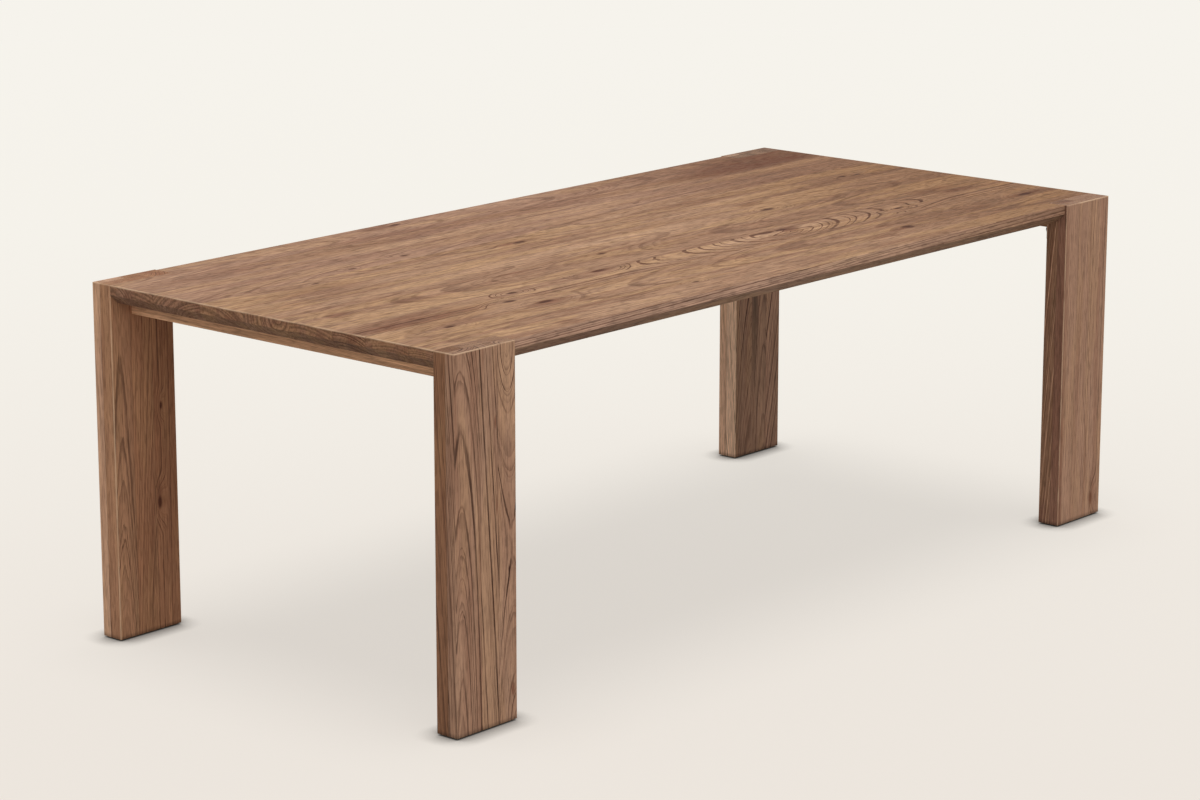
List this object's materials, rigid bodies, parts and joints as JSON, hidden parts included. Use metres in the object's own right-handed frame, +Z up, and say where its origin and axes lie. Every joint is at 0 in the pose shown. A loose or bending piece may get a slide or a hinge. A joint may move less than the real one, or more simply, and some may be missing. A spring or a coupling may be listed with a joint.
{
  "type": "parsons dining table",
  "caption": "Rectangular dining table with slab legs flush at the corners, an undercut plank top, end rails and cross battens beneath.",
  "frame": {"origin": "centre of the footprint, on the floor", "axes": "+X along the table's length to the right end, +Y across the table to the back, +Z up"},
  "size_m": [2.2, 1.02, 0.76],
  "materials": {
    "elm_top": "matt oiled elm, boards edge-glued along the table",
    "elm_legs": "matt oiled elm, laminated from staves",
    "elm_rails": "matt oiled elm",
    "elm_battens": "planed elm, lightly oiled",
    "bracket_steel": "black powder coat",
    "fastener_steel": "zinc-plated steel",
    "insert_brass": "turned brass",
    "glide_plastic": "dark brown nylon"
  },
  "bodies": {
    "root": {"batten_left": "elm_battens", "batten_middle": "elm_battens", "batten_right": "elm_battens", "batten_screws": "fastener_steel", "bracket_screws": "fastener_steel", "end_rail_left": "elm_rails", "end_rail_right": "elm_rails", "foot_glides": "glide_plastic", "leg_back_left_inner_stave_1": "elm_legs", "leg_back_left_inner_stave_2": "elm_legs", "leg_back_left_inner_stave_3": "elm_legs", "leg_back_left_outer_stave_1": "elm_legs", "leg_back_left_outer_stave_2": "elm_legs", "leg_back_left_outer_stave_3": "elm_legs", "leg_back_right_inner_stave_1": "elm_legs", "leg_back_right_inner_stave_2": "elm_legs", "leg_back_right_inner_stave_3": "elm_legs", "leg_back_right_outer_stave_1": "elm_legs", "leg_back_right_outer_stave_2": "elm_legs", "leg_back_right_outer_stave_3": "elm_legs", "leg_bolts": "fastener_steel", "leg_bracket_back_left": "bracket_steel", "leg_bracket_back_right": "bracket_steel", "leg_bracket_front_left": "bracket_steel", "leg_bracket_front_right": "bracket_steel", "leg_front_left_inner_stave_1": "elm_legs", "leg_front_left_inner_stave_2": "elm_legs", "leg_front_left_inner_stave_3": "elm_legs", "leg_front_left_outer_stave_1": "elm_legs", "leg_front_left_outer_stave_2": "elm_legs", "leg_front_left_outer_stave_3": "elm_legs", "leg_front_right_inner_stave_1": "elm_legs", "leg_front_right_inner_stave_2": "elm_legs", "leg_front_right_inner_stave_3": "elm_legs", "leg_front_right_outer_stave_1": "elm_legs", "leg_front_right_outer_stave_2": "elm_legs", "leg_front_right_outer_stave_3": "elm_legs", "rail_screws": "fastener_steel", "threaded_inserts": "insert_brass", "top_board_01": "elm_top", "top_board_02": "elm_top", "top_board_03": "elm_top", "top_board_04": "elm_top", "top_board_05": "elm_top", "top_board_06": "elm_top", "top_board_07": "elm_top", "top_board_08": "elm_top", "top_board_09": "elm_top", "top_board_10": "elm_top"}
  },
  "joints": []
}
